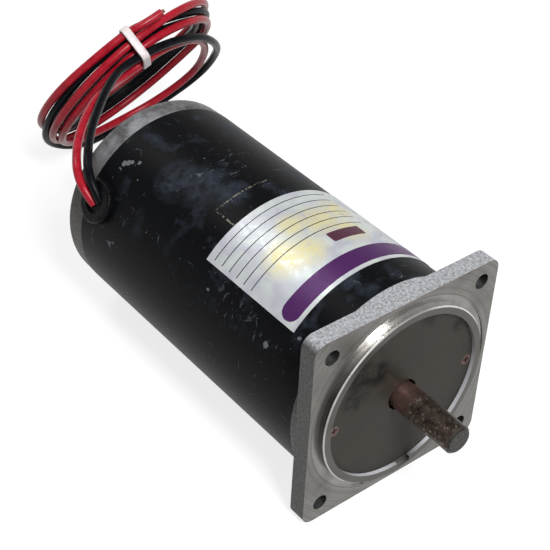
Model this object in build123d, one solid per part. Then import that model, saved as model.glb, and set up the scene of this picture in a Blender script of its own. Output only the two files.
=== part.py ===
# Square-flanged permanent-magnet DC motor with a plain output shaft and two flying leads.
#
# Frame, in millimetres: the origin is the centre of the flange's mounting face, on the shaft axis.
# +X points out along the shaft, +Z is up, and the flange's edges run along Y and Z.
# The motor lies on its tube and on the flange's lower edge, so the floor is half the flange below the axis.

import os
from math import cos, degrees, pi, radians, sin, tan

from build123d import *

# Front flange and its pilot
flange_width = 90.0
flange_thickness = 7.5
flange_corner_radius = 5.0
mounting_hole = 6.5
mounting_hole_inset = 8.23
pilot_inset = 5.0
pilot_height = 2.7
pilot_edge_chamfer = 0.5
relief_width = 3.2
relief_depth = 0.5
pilot_rim = 3.35
cover_step_down = 1.6
cover_thickness = 2.0
cover_gap = 0.1
cover_ledge = 7.65
cover_shaft_play = 0.9
pry_notch_width = 6.4
pry_notch_depth = 1.9
pry_notch_angle = -84.0
front_web = 4.0
web_face = -3.6
hub_collar = 3.0
register_length = 7.0
register_wall = 4.5
flange_rib_width = 3.0
rib_count = 6
cover_screw_inset = 2.95
cover_screw_length = 6.5
cover_screw_head = 4.8
cover_screw_thread = 2.5
screw_tip_gap = 0.5
cross_depth = 0.9
cross_width = 0.7
cross_length = 2.8

# Tube, magnets and clips
tube_outer = flange_width
tube_wall = 4.0
tube_length = 142.4
magnet_thickness = 6.5
magnet_arc = 126.0
magnet_edge_radius = 1.5
clip_thickness = 0.8
clip_inset = 7.0
clip_flange = 3.0
glue_gap = 0.1

# Rear end bell
bell_length = 11.6
bell_rim_radius = 2.4
bell_taper = 0.5
bell_floor = 4.0
bell_cap_diameter = 44.0
bell_cap_height = 3.2
bell_cap_taper = 1.2
bell_rib_width = 2.5
bell_rib_height = 3.0
rear_seat_depth = 1.0
bell_register_length = 6.0
bell_register_wall = 4.0
bell_hub_wall = 4.2
brush_post_radius = 4.0

# Ball bearings, 12 x 32 x 10
bearing_bore = 12.0
bearing_outer = 32.0
bearing_width = 10.0
inner_race_outer = 18.4
outer_race_bore = 25.8
ball_circle = 22.0
ball_radius = 2.7
ball_play = 0.25
ball_count = 7
race_chamfer = 0.6
cage_wall = 1.5
cage_width = 6.6
cage_pocket_play = 0.15
front_bearing_face = -6.0
wave_washer_thickness = 0.5
wave_washer_width = 2.6
wave_washer_play = 0.4
wave_height = 1.5
wave_count = 3

# Rotor
shaft_reach = 32.0
shaft_diameter = 12.0
shaft_chamfer = 1.0
shaft_relief_diameter = 11.6
shaft_relief_end = 3.0
journal_chamfer = 0.6
journal_overhang = 0.5
shoulder_diameter = 15.5
shoulder_lap = 12.0
core_seat_diameter = 18.0
core_seat_overhang = 3.0
commutator_seat_diameter = 14.0
air_gap = 0.7
slot_count = 16
tooth_width = 4.6
slot_floor_radius = 15.5
slot_lip = 1.6
slot_opening = 2.4
slot_corner = 0.9
slot_liner = 0.3
magnet_overhang = 7.0
magnet_front_gap = 6.0
end_board_thickness = 1.5
winding_inset = 0.6
winding_overhang_front = 13.0
winding_overhang_rear = 11.0
winding_taper_front = 3.0
winding_taper_rear = 2.0
winding_round = 3.5
winding_dish_radius = 2.2
winding_dish_rise = 1.0
winding_riser_gap = 1.2
commutator_radius = 16.0
commutator_length = 20.0
commutator_bearing_gap = 8.6
commutator_bar_depth = 3.6
commutator_bar_gap = 0.6
riser_height = 3.0
riser_length = 2.6
circlip_thickness = 1.0
circlip_height = 1.6
circlip_opening = 50.0

# Brush gear
brush_thickness = 7.0
brush_width = 10.0
brush_play = 0.2
brush_chamfer = 0.6
brush_cut_depth = 1.5
spigot_height = 1.2
holder_wall = 0.8
holder_tube_gap = 1.6
holder_commutator_gap = 2.2
holder_slot_width = 2.4
holder_slot_margin = 4.0
brush_face_gap = 0.3
brush_plate_gap = 1.9
brush_plate_overlap = 1.0
brush_plate_thickness = 3.0
brush_plate_bore = 19.0
brush_plate_lug_margin = 3.0
brush_plate_lug_inset = 1.0
brush_post_angle = 45.0
brush_post_margin = 1.0
spring_wire = 0.8
spring_radius = 2.6
spring_turns = 4
spring_room = 8.8
spring_gap = 0.1
brush_screw_thread = 3.0
brush_screw_head = 5.6
brush_screw_head_height = 1.8
brush_screw_bite = 6.0
brush_screw_round = 0.7

# Through bolts
bolt_diameter = 5.0
bolt_clip_gap = 0.2
bolt_head_diameter = 9.0
bolt_head_height = 3.4
bolt_head_round = 1.2
bolt_head_recess = 1.5
bolt_head_play = 0.5
bolt_play = 0.1
bolt_thread_length = 9.0
bolt_tip_gap = 1.5
bolt_tip_chamfer = 0.7
bolt_slot_width = 1.2
bolt_slot_depth = 1.4
washer_thickness = 0.8
washer_diameter = 10.0
boss_radius = 5.2

# Lead grommet
grommet_angle = 152.8
grommet_inset = 7.6
grommet_flange_radius = 9.4
grommet_flange_height = 2.8
grommet_saddle = 3.0
grommet_edge_round = 1.3
grommet_neck_radius = 6.9
grommet_inner_flange_radius = 8.2
grommet_inner_flange_height = 1.8
grommet_mouth_radius = 5.2
grommet_mouth_depth = 1.2
grommet_play = 0.15
grommet_window_play = 0.5

# Rating label
label_front = 24.5
label_length = 53.5
label_start_angle = 41.0
label_end_angle = 138.6
label_thickness = 0.2
label_adhesive = 0.05

# Leads, coil and tie
lead_diameter = 3.9
lead_core_diameter = 1.7
lead_core_length = 1.6
lead_pair_gap = 0.5
lead_pair_turn = 40.0
lead_grip = 1.2
coil_centre_x = -247.0
coil_centre_y = 43.0
coil_heading = 194.4
coil_lean = 35.0
coil_radius = 46.5
coil_radial_width = 13.0
coil_half_depth = 9.0
coil_section_round = 4.0
coil_floor_gap = 0.3
tie_angle = 62.0
tie_width = 3.6
tie_thickness = 1.2
tie_gap = 0.3
tie_head_length = 6.0
tie_head_width = 5.4
tie_head_height = 4.6
tie_head_seat = 0.2
tie_head_round = 0.8
tail_angle = 66.0
tail_gap = 0.1
tail_length = 15.0
black_tail_lean = 25.0

# How far a cutting shape runs past what it cuts, and a fused one into its neighbour
overrun = 1.0

# Places that follow from the sizes
mounting_offset = flange_width / 2 - mounting_hole_inset
pilot_radius = flange_width / 2 - pilot_inset
recess_radius = pilot_radius - pilot_rim
pocket_radius = recess_radius - cover_ledge
cover_screw_offset = recess_radius - cover_screw_inset
collar_back = -flange_thickness - hub_collar
tube_front = collar_back
tube_rear = tube_front - tube_length
tube_inner = tube_outer / 2 - tube_wall
register_back = collar_back - register_length
boss_back = collar_back - bolt_thread_length
bell_rear = tube_rear - bell_length
bell_floor_face = bell_rear + bell_floor
cap_rear = bell_rear - bell_cap_height
floor_z = -flange_width / 2
register_radius = tube_inner - glue_gap
flange_register_inner = register_radius - register_wall
bell_register_inner = register_radius - bell_register_wall
cover_face = pilot_height - cover_step_down
cover_back = cover_face - cover_thickness
cover_screw_tip = cover_face - cover_screw_length
cover_screw_bore = cover_screw_thread / 2 + bolt_play
bolt_offset = tube_inner - glue_gap - clip_thickness - bolt_clip_gap - bolt_diameter / 2
bolt_bore = bolt_diameter / 2 + bolt_play
front_bearing_back = front_bearing_face - bearing_width
rear_seat_floor = bell_rear + rear_seat_depth
rear_bearing_back = rear_seat_floor + wave_height + 2 * glue_gap
rear_bearing_face = rear_bearing_back + bearing_width
bearing_hub_radius = bearing_outer / 2 + bell_hub_wall
magnet_inner = tube_inner - magnet_thickness - glue_gap
core_radius = magnet_inner - air_gap
magnet_front = register_back - bolt_thread_length - magnet_front_gap
core_front = magnet_front - magnet_overhang
front_turns_start = core_front + end_board_thickness
commutator_rear = rear_bearing_face + commutator_bearing_gap
commutator_front = commutator_rear + commutator_length
rear_turns_start = commutator_front + winding_riser_gap + winding_overhang_rear
core_rear = rear_turns_start + end_board_thickness
magnet_rear = core_rear - magnet_overhang
bar_root_radius = commutator_radius - commutator_bar_depth
brush_plate_front = commutator_rear + brush_plate_overlap
brush_plate_back = brush_plate_front - brush_plate_thickness
brush_plate_radius = bolt_offset - bolt_diameter / 2 - brush_plate_gap
brush_post_offset = brush_plate_radius - brush_post_radius - brush_post_margin
brush_screw_bore = brush_screw_thread / 2 + bolt_play
brush_screw_tip = brush_plate_back - brush_screw_bite
brush_centre_x = brush_plate_front + holder_wall + brush_play + brush_thickness / 2
brush_tip = commutator_radius + brush_face_gap
holder_reach = tube_inner - holder_tube_gap
spring_end = holder_reach - holder_wall
brush_top = spring_end - spring_room
grommet_x = tube_rear + grommet_inset
grommet_axis = Vector(0, cos(radians(grommet_angle)), sin(radians(grommet_angle)))
grommet_around = Vector(0, -sin(radians(grommet_angle)), cos(radians(grommet_angle)))
mouth_radius = tube_outer / 2 + grommet_flange_height - grommet_mouth_depth
coil_outer = coil_radius + coil_radial_width / 2


def turned(points):
    """A solid of revolution about the shaft axis from (x, radius) points."""
    return revolve(Plane.XZ * make_face(Polyline(*points, close=True)), Axis.X)


def ring(x_low, x_high, inner, outer):
    """A plain ring about the shaft axis."""
    return turned([(x_low, inner), (x_high, inner), (x_high, outer), (x_low, outer)])


def rod(x_low, x_high, radius, y=0.0, z=0.0):
    """A cylinder along X between two stations."""
    length = x_high - x_low
    return Pos(x_low + length / 2, y, z) * Rot(0, 90, 0) * Cylinder(radius, length)


def slab(x_low, x_high, width_y, width_z, y=0.0, z=0.0):
    """A box along X between two stations."""
    length = x_high - x_low
    return Pos(x_low + length / 2, y, z) * Box(length, width_y, width_z)


def radial_block(x_low, x_high, near, far, width):
    """A box along +Y, between two distances from the shaft axis."""
    return slab(x_low, x_high, far - near, width, y=(near + far) / 2)


def round_edges(shape):
    """The circular edges of a shape."""
    return shape.edges().filter_by(GeomType.CIRCLE)


def around(shape, angle):
    """Turn a shape about the shaft axis."""
    return Rot(angle, 0, 0) * shape


def both_sides(shape):
    """A piece and its copy on the opposite side of the shaft."""
    return [shape, around(shape, 180)]


def sector(x_low, x_high, start, end, reach):
    """A wedge about the shaft axis between two angles under 180 degrees apart, measured from +Y."""
    middle = (start + end) / 2
    stretch = reach / cos(radians((end - start) / 8))
    corners = [(0, 0)]
    for angle in (start, (start + middle) / 2, middle, (middle + end) / 2, end):
        corners.append((stretch * cos(radians(angle)), stretch * sin(radians(angle))))
    wedge = make_face(Polyline(*corners, close=True))
    return Pos(x_low, 0, 0) * extrude(Plane.YZ * wedge, x_high - x_low)


def front_flange():
    """Die-cast flange with its pilot, cover recess, bearing hub, ribs and register ring."""
    outline = RectangleRounded(flange_width, flange_width, flange_corner_radius)
    plate = extrude(Plane.YZ * outline, -flange_thickness)
    shape = plate + ring(-flange_thickness, pilot_height, pocket_radius, pilot_radius)
    rim = round_edges(shape).group_by(Axis.X)[-1].sort_by(SortBy.RADIUS)[-1:]
    shape = chamfer(rim, pilot_edge_chamfer)
    shape -= ring(-relief_depth, 0, pilot_radius, pilot_radius + relief_width)
    shape -= rod(-flange_thickness, pilot_height + overrun, pocket_radius)
    shape -= rod(cover_back, pilot_height + overrun, recess_radius)
    shape += ring(web_face - front_web, web_face, outer_race_bore / 2 + overrun, pocket_radius + overrun)
    shape += ring(collar_back, -flange_thickness + overrun, flange_register_inner, tube_outer / 2)
    shape += ring(register_back, collar_back + overrun, flange_register_inner, register_radius)
    shape += ring(front_bearing_back, web_face - overrun, bearing_outer / 2 - overrun, bearing_hub_radius)
    shape += ring(front_bearing_face, web_face, outer_race_bore / 2, bearing_hub_radius)
    rib = radial_block(collar_back, web_face - overrun, bearing_hub_radius - overrun,
                       flange_register_inner + overrun, flange_rib_width)
    for step in range(rib_count):
        shape += around(rib, 360 / rib_count * (step + 0.5))
    boss = rod(boss_back, -flange_thickness + overrun, boss_radius, y=bolt_offset)
    boss &= rod(boss_back, 0, register_radius)
    bolt_hole = rod(boss_back - overrun, collar_back, bolt_bore, y=bolt_offset)
    screw_hole = rod(cover_screw_tip - screw_tip_gap, cover_face, cover_screw_bore, y=cover_screw_offset)
    for angle in (0, 180):
        shape += around(boss, angle)
        shape -= around(bolt_hole, angle)
        shape -= around(screw_hole, angle)
    shape -= rod(front_bearing_back - overrun, front_bearing_face, bearing_outer / 2)
    for y in (-mounting_offset, mounting_offset):
        for z in (-mounting_offset, mounting_offset):
            shape -= rod(collar_back, overrun, mounting_hole / 2, y, z)
    notch = radial_block(cover_face, pilot_height + overrun, recess_radius - overrun,
                         recess_radius + pry_notch_depth, pry_notch_width)
    return shape - around(notch, pry_notch_angle)


def cover_plate():
    """Pressed disc that closes the flange recess and keeps grease and dust off the front bearing."""
    disc = ring(cover_back, cover_face, shaft_diameter / 2 + cover_shaft_play, recess_radius - cover_gap)
    for hole in both_sides(cover_screw_body(bolt_play)):
        disc -= hole
    return disc


def cover_screw_body(play):
    """Countersunk head and thread of one cover screw, larger all round by the play."""
    head = cover_screw_head / 2 + play
    thread = cover_screw_thread / 2 + play
    neck = cover_face - (head - thread)
    screw = turned([(cover_face, 0), (cover_face, head), (neck, thread),
                    (cover_screw_tip, thread), (cover_screw_tip, 0)])
    return Pos(0, cover_screw_offset, 0) * screw


def cover_screw():
    """Countersunk cover screw with a cross recess."""
    screw = cover_screw_body(0.0)
    recess = slab(cover_face - cross_depth, cover_face + overrun, cross_width, cross_length)
    for angle in (0, 90):
        screw -= Pos(0, cover_screw_offset, 0) * around(recess, angle)
    return screw


def yoke_tube():
    """Drawn steel tube that carries the magnets, open at the rear for the grommet."""
    tube = ring(tube_rear, tube_front, tube_inner, tube_outer / 2)
    neck = grommet_neck_radius + grommet_play
    deep = 4 * tube_wall
    run = grommet_inset + overrun
    slot = Cylinder(neck, deep) + Pos(-run / 2, 0, 0) * Box(run, 2 * neck, deep)
    return tube - grommet_place(tube_outer / 2) * slot


def grommet_place(radius):
    """The plane of the grommet at a distance from the shaft axis, with +Z outwards."""
    return Plane(origin=Vector(grommet_x, 0, 0) + grommet_axis * radius, x_dir=(1, 0, 0), z_dir=grommet_axis)


def lead_grommet():
    """Moulded rubber grommet with a rounded outer flange and a grooved neck."""
    outside = tube_outer / 2
    flange = Cylinder(grommet_flange_radius, grommet_flange_height + grommet_saddle)
    flange = fillet(flange.edges().group_by(Axis.Z)[-1], grommet_edge_round)
    flange = grommet_place(outside + (grommet_flange_height - grommet_saddle) / 2) * flange
    flange -= rod(bell_rear, tube_front, outside)
    neck = grommet_place(outside - tube_wall / 2) * Cylinder(grommet_neck_radius, tube_wall + 2 * overrun)
    inner = Cylinder(grommet_inner_flange_radius, grommet_inner_flange_height + 2 * overrun)
    inner = grommet_place(tube_inner - grommet_inner_flange_height / 2) * inner
    inner &= rod(tube_rear, tube_front, tube_inner)
    mouth = Cylinder(grommet_mouth_radius, 2 * grommet_mouth_depth)
    mouth = grommet_place(outside + grommet_flange_height) * mouth
    return flange + neck + inner - mouth


def magnet():
    """Upper ferrite arc, with rounded end corners."""
    half = magnet_arc / 2
    arc = ring(magnet_rear, magnet_front, magnet_inner, tube_inner - glue_gap)
    arc &= sector(magnet_rear, magnet_front, 90 - half, 90 + half, tube_outer)
    return fillet(arc.edges().filter_by(Axis.X), magnet_edge_radius)


def magnet_clip():
    """Spring-steel channel that spreads the two magnets apart, round the through bolt."""
    outer = tube_inner - glue_gap
    low = magnet_rear + clip_inset
    high = magnet_front - clip_inset
    spread = (180 - magnet_arc) / 2 - degrees((glue_gap + clip_thickness / 2) / magnet_inner)
    web = ring(low, high, outer - clip_thickness, outer) & sector(low, high, -spread, spread, tube_outer)
    wing = radial_block(low, high, outer - glue_gap - clip_flange, outer - glue_gap, clip_thickness)
    return web + around(wing, spread) + around(wing, -spread)


def rear_end_bell():
    """Die-cast rear cover with the rear bearing hub, brush posts and bolt recesses."""
    outer = tube_outer / 2
    root = bell_floor_face - overrun
    top = tube_rear + bell_register_length
    shell = turned([(bell_rear, 0), (tube_rear, 0), (tube_rear, outer), (bell_rear, outer - bell_taper)])
    shell = fillet(round_edges(shell).group_by(Axis.X)[0], bell_rim_radius)
    shell -= rod(bell_floor_face, tube_rear, bell_register_inner)
    shell += ring(tube_rear - overrun, top, bell_register_inner, register_radius)
    cap = bell_cap_diameter / 2
    shell += turned([(cap_rear, 0), (bell_rear + overrun, 0), (bell_rear + overrun, cap),
                     (bell_rear, cap), (cap_rear, cap - bell_cap_taper)])
    shell += rod(bell_rear + overrun, rear_bearing_face, bearing_hub_radius)
    post = rod(root, brush_plate_back, brush_post_radius, y=brush_post_offset)
    post_hole = rod(brush_screw_tip - screw_tip_gap, brush_plate_back + overrun, brush_screw_bore,
                    y=brush_post_offset)
    boss = rod(root, top, boss_radius, y=bolt_offset)
    boss &= rod(root, top, register_radius)
    bolt_hole = rod(bell_rear - overrun, top + overrun, bolt_bore, y=bolt_offset)
    head_recess = rod(bell_rear - overrun, bell_rear + bolt_head_recess,
                      washer_diameter / 2 + bolt_head_play, y=bolt_offset)
    for angle in (0, 180):
        shell += around(post, brush_post_angle + angle)
        shell -= around(post_hole, brush_post_angle + angle)
        shell += around(boss, angle)
        shell -= around(bolt_hole, angle)
        shell -= around(head_recess, angle)
    rib = radial_block(root, bell_floor_face + bell_rib_height, bearing_hub_radius - overrun,
                       bell_register_inner + overrun, bell_rib_width)
    for step in range(rib_count):
        shell += around(rib, 360 / rib_count * (step + 0.5))
    shell -= rod(rear_seat_floor, rear_bearing_face + overrun, bearing_outer / 2)
    window = grommet_place(tube_inner) * Box(4 * grommet_inner_flange_radius,
                                             2 * (grommet_inner_flange_radius + grommet_window_play),
                                             3 * bell_register_wall)
    return shell - (window & rod(tube_rear, tube_front, outer))


def bearing_outer_race(face):
    """Outer race with its ball groove."""
    race = ring(face - bearing_width, face, outer_race_bore / 2, bearing_outer / 2)
    race = chamfer(round_edges(race).group_by(SortBy.RADIUS)[-1], race_chamfer)
    return race - ball_groove(face - bearing_width / 2)


def ball_groove(middle):
    """The round channel in which the balls run, cut from both races."""
    section = Plane.XZ * Pos(middle, ball_circle / 2) * Circle(ball_radius + ball_play)
    return revolve(section, Axis.X)


def bearing_inner_race(face):
    """Inner race with its ball groove."""
    race = ring(face - bearing_width, face, bearing_bore / 2, inner_race_outer / 2)
    return race - ball_groove(face - bearing_width / 2)


def bearing_balls(face):
    """The ring of balls of one bearing."""
    ball = Pos(face - bearing_width / 2, ball_circle / 2, 0) * Sphere(ball_radius)
    return [around(ball, 360 / ball_count * step) for step in range(ball_count)]


def bearing_cage(face):
    """Moulded cage that spaces the balls."""
    middle = face - bearing_width / 2
    cage = ring(middle - cage_width / 2, middle + cage_width / 2,
                (ball_circle - cage_wall) / 2, (ball_circle + cage_wall) / 2)
    pocket = Pos(middle, ball_circle / 2, 0) * Sphere(ball_radius + cage_pocket_play)
    for step in range(ball_count):
        cage -= around(pocket, 360 / ball_count * step)
    return cage


def wave_washer():
    """Spring washer that preloads the rear bearing: a thin ring bent into gentle waves."""
    low = rear_seat_floor + glue_gap
    high = low + wave_height
    outer = bearing_outer / 2 - wave_washer_play
    inner = outer - wave_washer_width
    washer = ring(low, high, inner, outer)
    rise = (wave_height - wave_washer_thickness) / 2
    reach = (inner + outer) / 2 * sin(radians(90 / wave_count))
    bend = (reach ** 2 + rise ** 2) / (2 * rise)
    tall = outer + overrun
    trough = Pos(low + wave_washer_thickness + bend, 0, tall / 2) * Cylinder(bend, tall)
    crest = Pos(high - wave_washer_thickness - bend, 0, tall / 2) * Cylinder(bend, tall)
    for step in range(wave_count):
        washer -= around(trough, 360 / wave_count * step)
        washer -= around(crest, 360 / wave_count * (step + 0.5))
    return washer


def motor_shaft():
    """Ground steel shaft with its journals, shoulder and core seat, and a relief behind the free end."""
    radius = shaft_diameter / 2
    relief = shaft_relief_diameter / 2
    groove = radius - circlip_height / 2
    shoulder = shoulder_diameter / 2
    core_seat = core_seat_diameter / 2
    commutator_seat = commutator_seat_diameter / 2
    groove_front = front_bearing_face + circlip_thickness + glue_gap
    seat_front = core_front + shoulder_lap
    seat_rear = core_rear - core_seat_overhang
    end = rear_bearing_back - journal_overhang
    return turned([
        (shaft_reach, 0), (shaft_reach, radius - shaft_chamfer), (shaft_reach - shaft_chamfer, radius),
        (shaft_relief_end, radius), (shaft_relief_end, relief), (groove_front, relief),
        (groove_front, groove), (front_bearing_face, groove), (front_bearing_face, radius),
        (front_bearing_back, radius), (front_bearing_back, shoulder), (seat_front, shoulder),
        (seat_front, core_seat), (seat_rear, core_seat), (seat_rear, commutator_seat),
        (rear_bearing_face, commutator_seat), (rear_bearing_face, radius), (end + journal_chamfer, radius),
        (end, radius - journal_chamfer), (end, 0)])


def shaft_circlip():
    """Open retaining ring in the shaft groove, against the front bearing."""
    low = front_bearing_face
    high = front_bearing_face + circlip_thickness
    clip = ring(low, high, (shaft_diameter - circlip_height) / 2, shaft_diameter / 2 + circlip_height)
    half = circlip_opening / 2
    return clip - sector(low - overrun, high + overrun, 90 - half, 90 + half, shaft_diameter)


def slot_profile(shrink=0.0):
    """Outline of one winding slot in the core, centred on +Y, smaller all round by the shrink."""
    half_pitch = radians(180 / slot_count)
    half_tooth = tooth_width / 2 / cos(half_pitch)
    mouth = core_radius - slot_lip - shrink
    floor = slot_floor_radius + shrink
    wide = mouth * tan(half_pitch) - half_tooth - shrink
    narrow = floor * tan(half_pitch) - half_tooth - shrink
    corners = [(floor, -narrow), (mouth, -wide), (mouth, wide), (floor, narrow)]
    outline = make_face(Polyline(*corners, close=True))
    return fillet(outline.vertices().group_by(Axis.X)[-1], slot_corner)


def slotted_disc(outer):
    """Flat outline of a lamination or an end board, with its winding slots and their mouths."""
    disc = Circle(outer) - Circle(core_seat_diameter / 2)
    mouth = Pos(core_radius - slot_lip, 0) * Rectangle(2 * (slot_lip + overrun), slot_opening)
    slot = slot_profile() + mouth
    for step in range(slot_count):
        disc -= Rot(0, 0, 360 / slot_count * step) * slot
    return Plane.YZ * disc


def armature_core():
    """Lamination stack with semi-closed winding slots."""
    return Pos(core_rear, 0, 0) * extrude(slotted_disc(core_radius), core_front - core_rear)


def end_boards():
    """Fibre boards that keep the end turns off the stack, one at each end."""
    board = slotted_disc(core_radius - slot_lip / 2)
    front = Pos(core_front, 0, 0) * extrude(board, end_board_thickness)
    rear = Pos(core_rear, 0, 0) * extrude(board, -end_board_thickness)
    return [front, rear]


def end_turns(start, end, inner, outer, taper):
    """Rounded bundle of end turns from the end board to its free end, narrower there by the taper."""
    bundle = turned([(start, inner), (start, outer), (end, outer - taper), (end, inner)])
    free_end = bundle.edges().group_by(Axis.X)[-1 if end > start else 0]
    return fillet(free_end, min(winding_round, 0.4 * (outer - taper - inner)))


def armature_windings():
    """Varnished copper coils: one bundle in each slot and the rounded end turns at both ends."""
    outer = core_radius - slot_lip - slot_liner - winding_inset
    inner = slot_floor_radius + slot_liner
    front_end = front_turns_start + winding_overhang_front
    rear_end = rear_turns_start - winding_overhang_rear
    front = end_turns(front_turns_start, front_end, inner, outer, winding_taper_front)
    rear = end_turns(rear_turns_start, rear_end, inner, outer, winding_taper_rear)
    bundles = Sketch()
    for step in range(slot_count):
        bundles += Rot(0, 0, 360 / slot_count * step) * slot_profile(slot_liner)
    length = front_turns_start - rear_turns_start + 2 * overrun
    filled = Pos(rear_turns_start - overrun, 0, 0) * extrude(Plane.YZ * bundles, length)
    dish = Pos(front_end + winding_dish_rise, (inner + outer) / 2) * Circle(winding_dish_radius)
    return front + rear + filled - revolve(Plane.XZ * dish, Axis.X)


def commutator_hub():
    """Moulded hub that holds the commutator bars on the shaft."""
    bore = commutator_seat_diameter / 2
    return ring(commutator_rear, commutator_front, bore, bar_root_radius - glue_gap / 2)


def commutator_bars():
    """Separate copper bars, each with its riser beside the end turns."""
    top = commutator_radius + riser_height
    body = ring(commutator_rear, commutator_front, bar_root_radius, commutator_radius)
    body += ring(commutator_front - riser_length, commutator_front, bar_root_radius, top)
    half_pitch = radians(180 / slot_count)
    apex = commutator_bar_gap / 2 / sin(half_pitch)
    far = apex + (top + overrun) * cos(half_pitch)
    half_width = (top + overrun) * sin(half_pitch)
    wedge = make_face(Polyline((apex, 0), (far, -half_width), (far, half_width), close=True))
    cutter = extrude(Plane.YZ * wedge, commutator_length + 2 * overrun)
    bar = body & (Pos(commutator_rear - overrun, 0, 0) * cutter)
    return [around(bar, 360 / slot_count * step) for step in range(slot_count)]


def brush():
    """Upper carbon brush, with its end curved to the commutator and a spring spigot on top."""
    low = brush_tip - brush_cut_depth
    block = Box(brush_thickness, brush_width, brush_top - low)
    block = Pos(brush_centre_x, 0, (low + brush_top) / 2) * block
    block -= rod(brush_centre_x - brush_thickness, brush_centre_x + brush_thickness, brush_tip)
    block = chamfer(block.edges().group_by(Axis.Z)[-1], brush_chamfer)
    spigot = Cylinder(spring_radius - spring_wire, spigot_height + overrun)
    return block + Pos(brush_centre_x, 0, brush_top + (spigot_height - overrun) / 2) * spigot


def brush_spring():
    """Upper brush spring, a round-wire coil between the brush and the end of its holder."""
    low = brush_top + spring_wire / 2 + spring_gap
    high = spring_end - spring_wire / 2 - spring_gap
    path = Pos(brush_centre_x, 0, low) * Helix((high - low) / spring_turns, high - low, spring_radius)
    section = Plane(origin=path @ 0, z_dir=path % 0) * Circle(spring_wire / 2)
    return sweep(section, path=path)


def brush_holder():
    """Upper brass brush box, open towards the commutator and closed behind the spring."""
    low = commutator_radius + holder_commutator_gap
    tall = holder_reach - low
    inner_x = brush_thickness + 2 * brush_play
    inner_y = brush_width + 2 * brush_play
    box = Box(inner_x + 2 * holder_wall, inner_y + 2 * holder_wall, tall)
    box -= Pos(0, 0, -holder_wall / 2) * Box(inner_x, inner_y, tall - holder_wall)
    slot = Box(4 * holder_wall, holder_slot_width, tall - 2 * holder_slot_margin)
    box -= Pos(inner_x / 2, 0, 0) * slot
    return Pos(brush_centre_x, 0, low + tall / 2) * box


def brush_plate():
    """Laminated insulating plate that carries both brush boxes."""
    plate = ring(brush_plate_back, brush_plate_front, brush_plate_bore, brush_plate_radius)
    lug = slab(brush_plate_back, brush_plate_front, brush_width + 2 * brush_plate_lug_margin,
               2 * (holder_reach - brush_plate_lug_inset))
    plate += lug - rod(brush_plate_back - overrun, brush_plate_front + overrun, brush_plate_bore)
    hole = rod(brush_plate_back - overrun, brush_plate_front + overrun, brush_screw_bore,
               y=brush_post_offset)
    for angle in (0, 180):
        plate -= around(hole, brush_post_angle + angle)
    return plate


def brush_plate_screw():
    """Pan-head screw that holds the brush plate to a post of the rear bell."""
    screw = rod(brush_screw_tip, brush_plate_front, brush_screw_thread / 2, y=brush_post_offset)
    head = rod(brush_plate_front, brush_plate_front + brush_screw_head_height, brush_screw_head / 2,
               y=brush_post_offset)
    head = fillet(head.edges().group_by(Axis.X)[-1], brush_screw_round)
    return around(screw + head, brush_post_angle)


def through_bolt():
    """Long slotted-head screw from the rear bell into the flange."""
    seat = bell_rear + bolt_head_recess - washer_thickness
    top = seat - bolt_head_height
    shank = rod(seat, collar_back - bolt_tip_gap, bolt_diameter / 2, y=bolt_offset)
    shank = chamfer(shank.edges().group_by(Axis.X)[-1], bolt_tip_chamfer)
    head = rod(top, seat, bolt_head_diameter / 2, y=bolt_offset)
    head = fillet(head.edges().group_by(Axis.X)[0], bolt_head_round)
    head -= slab(top - overrun, top + bolt_slot_depth, bolt_head_diameter + 2 * overrun, bolt_slot_width,
                 y=bolt_offset)
    return shank + head


def bolt_washer():
    """Flat washer under a through bolt's head."""
    seat = bell_rear + bolt_head_recess
    washer = rod(seat - washer_thickness, seat, washer_diameter / 2, y=bolt_offset)
    return washer - rod(seat - washer_thickness - overrun, seat + overrun, bolt_bore, y=bolt_offset)


def rating_label():
    """Foil sticker wrapped over the top of the tube."""
    low = -label_front - label_length
    inner = tube_outer / 2 + label_adhesive
    sheet = ring(low, -label_front, inner, inner + label_thickness)
    return sheet & sector(low, -label_front, label_start_angle, label_end_angle, tube_outer)


def coil_plane():
    """The coil's own plane: +Z is its winding axis and +X is level. Its lower edge just clears the floor."""
    lean = radians(coil_lean)
    heading = radians(coil_heading)
    normal = Vector(cos(lean) * cos(heading), cos(lean) * sin(heading), sin(lean))
    level = Vector(-sin(heading), cos(heading), 0)
    height = floor_z + coil_floor_gap + coil_outer * cos(lean) + coil_half_depth * sin(lean)
    return Plane(origin=(coil_centre_x, coil_centre_y, height), x_dir=level, z_dir=normal)


def coil_point(angle, radius=coil_radius, depth=0.0):
    """A point of the coil, by the angle round it."""
    local = Vector(radius * cos(radians(angle)), radius * sin(radians(angle)), depth)
    return coil_plane().from_local_coords(local)


def lead_coil(side):
    """Outer shape of one lead's turns: the outer half of the coil for +1, the inner half for -1."""
    width = coil_radial_width / 2
    section = Pos(coil_radius + side * width / 2, 0) * Rectangle(width, 2 * coil_half_depth)
    rim = section.vertices().group_by(Axis.X)[-1 if side > 0 else 0]
    section = fillet(rim, coil_section_round)
    return coil_plane() * revolve(Plane.XZ * section, Axis.Z)


def tie_plane(angle):
    """A plane across the coil at an angle: +Z along the turns, +X outwards from the coil's centre."""
    frame = coil_plane()
    outwards = (coil_point(angle, 1.0) - frame.origin).normalized()
    return Plane(origin=coil_point(angle), x_dir=outwards, z_dir=frame.z_dir.cross(outwards))


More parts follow.
